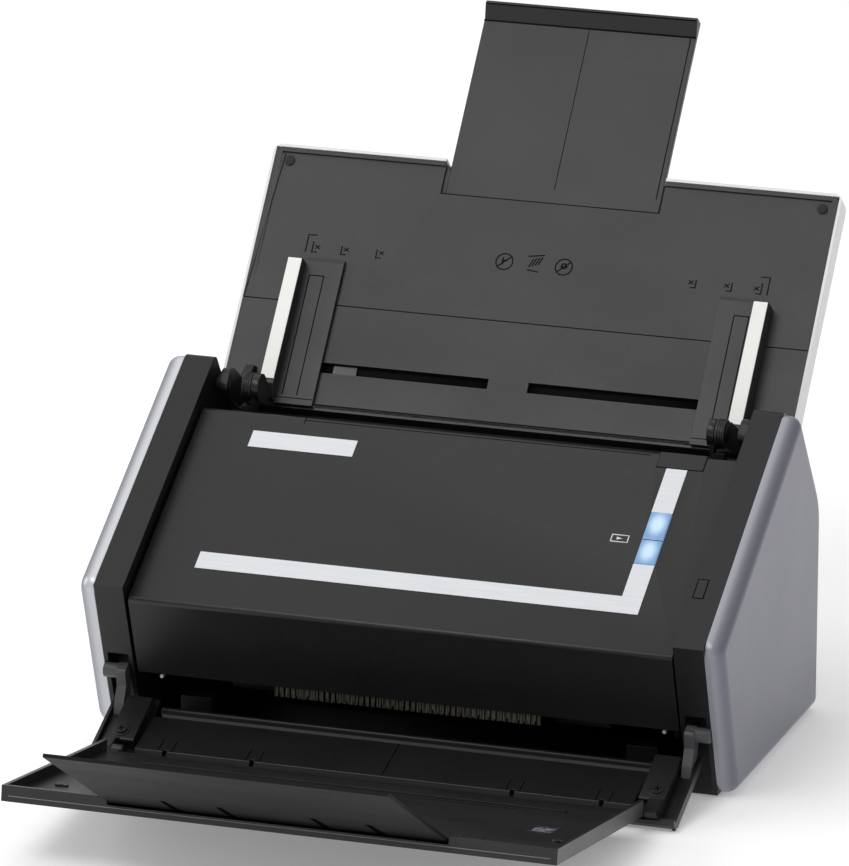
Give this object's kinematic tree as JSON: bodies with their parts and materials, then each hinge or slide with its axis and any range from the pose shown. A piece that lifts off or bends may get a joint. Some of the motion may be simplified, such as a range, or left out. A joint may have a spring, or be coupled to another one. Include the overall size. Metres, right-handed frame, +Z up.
{
  "type": "sheet fed document scanner",
  "caption": "Compact sheet fed document scanner, opened: tilted paper chute with sliding side guides and extension, feed unit, fold-down stacking cover with tray and flap.",
  "frame": {"origin": "centre of the bounding box at desk level, on the middle plane between the side panels", "axes": "+Z up, +X to the viewer's right when facing the paper exit, -Y towards the paper exit and stacking tray"},
  "size_m": [0.292, 0.5102, 0.2772],
  "materials": {
    "charcoal_case": "satin moulded charcoal",
    "black_frame": "fine textured black",
    "silver_panel": "satin silver paint",
    "pale_shell": "satin off-white",
    "off_white_strip": "smooth off-white",
    "light_grey": "satin light grey",
    "silver_trim": "brushed silver",
    "button_blue": "translucent blue, lit",
    "path_black": "smooth black",
    "scan_glass": "polished",
    "roller_rubber": "ground matt",
    "steel": "ground",
    "gear_white": "natural moulded",
    "board_green": "solder resist",
    "motor_can": "plated",
    "brush_fibre": "conductive fibre"
  },
  "bodies": {
    "frame": {"base_cover": "black_frame", "rear_cover": "charcoal_case", "side_panel_left": "silver_panel", "side_panel_right": "silver_panel", "end_frame_left": "black_frame", "end_frame_right": "black_frame", "lower_guide": "path_black", "lower_glass": "scan_glass", "lower_sensor": "path_black", "main_board": "board_green", "dc_inlet": "path_black", "usb_port": "steel", "drive_motor": "motor_can", "rubber_feet": "roller_rubber", "exit_tabs": "black_frame", "rack_bar": "steel"},
    "feed_unit": {"feed_cover": "charcoal_case", "upper_guide": "path_black", "upper_glass": "scan_glass", "upper_sensor": "path_black", "name_plate": "silver_trim", "trim_strip": "silver_trim", "static_brush": "brush_fibre"},
    "scan_button": {"scan_button": "button_blue"},
    "release_lever": {"release_lever": "charcoal_case"},
    "feed_roller": {"feed_shaft": "steel", "feed_tyres": "roller_rubber"},
    "exit_roller": {"exit_shaft": "steel", "exit_tyres": "roller_rubber"},
    "pick_roller": {"pick_shaft": "steel", "pick_tyre": "roller_rubber"},
    "idler_gear": {"idler_gear": "gear_white"},
    "motor_pinion": {"motor_pinion": "steel"},
    "feed_pinch": {"feed_pinch": "light_grey"},
    "exit_pinch": {"exit_pinch": "light_grey"},
    "brake_roller": {"brake_roller": "roller_rubber"},
    "chute": {"chute_liner": "charcoal_case", "chute_shell": "pale_shell", "chute_bumpers": "roller_rubber", "chute_arm_left": "light_grey", "chute_arm_right": "light_grey"},
    "chute_extension": {"chute_extension": "charcoal_case"},
    "guide_slider_left": {"guide_slider_left": "path_black"},
    "guide_slider_right": {"guide_slider_right": "path_black"},
    "side_guide_left": {"side_guide_left": "charcoal_case", "guide_strip_left": "off_white_strip"},
    "side_guide_right": {"side_guide_right": "charcoal_case", "guide_strip_right": "off_white_strip"},
    "rack_pinion": {"rack_pinion": "gear_white"},
    "stacking_cover": {"stacker_cover": "charcoal_case", "stacker_ramp": "path_black", "door_arm_left": "light_grey", "door_arm_right": "light_grey", "arm_hood_left": "charcoal_case", "arm_hood_right": "charcoal_case", "hood_screws": "steel"},
    "stacker_tray": {"stacker_tray": "charcoal_case"},
    "stacker_flap": {"stacker_flap": "charcoal_case"}
  },
  "joints": [
    {"name": "chute_hinge", "type": "hinge", "parent": "frame", "child": "chute", "pos_m": [0, 0.09651, 0.13225], "axis": [1, 0, 0], "range_deg": [0, 160.6]},
    {"name": "extension_slide", "type": "slide", "parent": "chute", "child": "chute_extension", "axis": [0, -0.6374, -0.7705], "range_m": [0, 0.08]},
    {"name": "guide_left_slide", "type": "slide", "parent": "frame", "child": "guide_slider_left", "axis": [1, 0, 0], "range_m": [-0.0026, 0.078]},
    {"name": "guide_right_slide", "type": "slide", "parent": "frame", "child": "guide_slider_right", "axis": [1, 0, 0], "range_m": [-0.078, 0.0026]},
    {"name": "rack_pinion_turn", "type": "hinge", "parent": "frame", "child": "rack_pinion", "pos_m": [0, 0.10903, 0.087], "axis": [0, 0, 1], "range_deg": [-20, 560]},
    {"name": "guide_left_fold", "type": "hinge", "parent": "guide_slider_left", "child": "side_guide_left", "pos_m": [0, 0.09651, 0.13225], "axis": [1, 0, 0], "range_deg": [0, 160.6]},
    {"name": "guide_right_fold", "type": "hinge", "parent": "guide_slider_right", "child": "side_guide_right", "pos_m": [0, 0.09651, 0.13225], "axis": [1, 0, 0], "range_deg": [0, 160.6]},
    {"name": "feed_unit_hinge", "type": "hinge", "parent": "frame", "child": "feed_unit", "pos_m": [0, -0.00647, 0.0345], "axis": [-1, 0, 0], "range_deg": [-65, 0]},
    {"name": "scan_button_press", "type": "slide", "parent": "feed_unit", "child": "scan_button", "axis": [0, 0.5158, -0.8567], "range_m": [0, 0.0012], "stiffness_N_per_m": 600, "springref_m": -0.0005},
    {"name": "release_lever_pull", "type": "hinge", "parent": "feed_unit", "child": "release_lever", "pos_m": [0, 0.06982, 0.12278], "axis": [-1, 0, 0], "range_deg": [0, 12], "stiffness_Nm_per_rad": 0.05, "springref_deg": -11.46},
    {"name": "stacking_cover_hinge", "type": "hinge", "parent": "frame", "child": "stacking_cover", "pos_m": [0, -0.01247, 0.0315], "axis": [-1, 0, 0], "range_deg": [0, 95.2]},
    {"name": "stacker_tray_hinge", "type": "hinge", "parent": "stacking_cover", "child": "stacker_tray", "pos_m": [0, -0.05095, 0.00901], "axis": [-1, 0, 0], "range_deg": [0, 44.75]},
    {"name": "stacker_flap_hinge", "type": "hinge", "parent": "stacker_tray", "child": "stacker_flap", "pos_m": [0, -0.17499, 0.03129], "axis": [-1, 0, 0], "range_deg": [0, 158.5]},
    {"name": "feed_roller_turn", "type": "hinge", "parent": "frame", "child": "feed_roller", "pos_m": [0, 0.0641, 0.06647], "axis": [1, 0, 0], "continuous": true},
    {"name": "exit_roller_turn", "type": "hinge", "parent": "frame", "child": "exit_roller", "pos_m": [0, 0.01259, 0.02849], "axis": [1, 0, 0], "continuous": true},
    {"name": "pick_roller_turn", "type": "hinge", "parent": "frame", "child": "pick_roller", "pos_m": [0, 0.08335, 0.07712], "axis": [1, 0, 0], "continuous": true},
    {"name": "idler_gear_turn", "type": "hinge", "parent": "frame", "child": "idler_gear", "pos_m": [0, 0.03834, 0.04748], "axis": [1, 0, 0], "continuous": true},
    {"name": "motor_pinion_turn", "type": "hinge", "parent": "frame", "child": "motor_pinion", "pos_m": [0, 0.06167, 0.03198], "axis": [1, 0, 0], "continuous": true},
    {"name": "feed_pinch_turn", "type": "hinge", "parent": "feed_unit", "child": "feed_pinch", "pos_m": [0, 0.05668, 0.07653], "axis": [1, 0, 0], "continuous": true},
    {"name": "exit_pinch_turn", "type": "hinge", "parent": "feed_unit", "child": "exit_pinch", "pos_m": [0, 0.00517, 0.03855], "axis": [1, 0, 0], "continuous": true},
    {"name": "brake_roller_turn", "type": "hinge", "parent": "feed_unit", "child": "brake_roller", "pos_m": [0, 0.07308, 0.09104], "axis": [1, 0, 0], "continuous": true}
  ],
  "couplings": [
    {"joint": "guide_right_slide", "follows": "guide_left_slide", "ratio": -1},
    {"joint": "rack_pinion_turn", "follows": "guide_left_slide", "rad_per_m": 125},
    {"joint": "guide_left_fold", "follows": "chute_hinge", "ratio": 1},
    {"joint": "guide_right_fold", "follows": "chute_hinge", "ratio": 1},
    {"joint": "exit_roller_turn", "follows": "feed_roller_turn", "ratio": 1},
    {"joint": "pick_roller_turn", "follows": "feed_roller_turn", "ratio": -0.83333},
    {"joint": "idler_gear_turn", "follows": "feed_roller_turn", "ratio": -0.45455},
    {"joint": "motor_pinion_turn", "follows": "feed_roller_turn", "ratio": 1.6667}
  ]
}
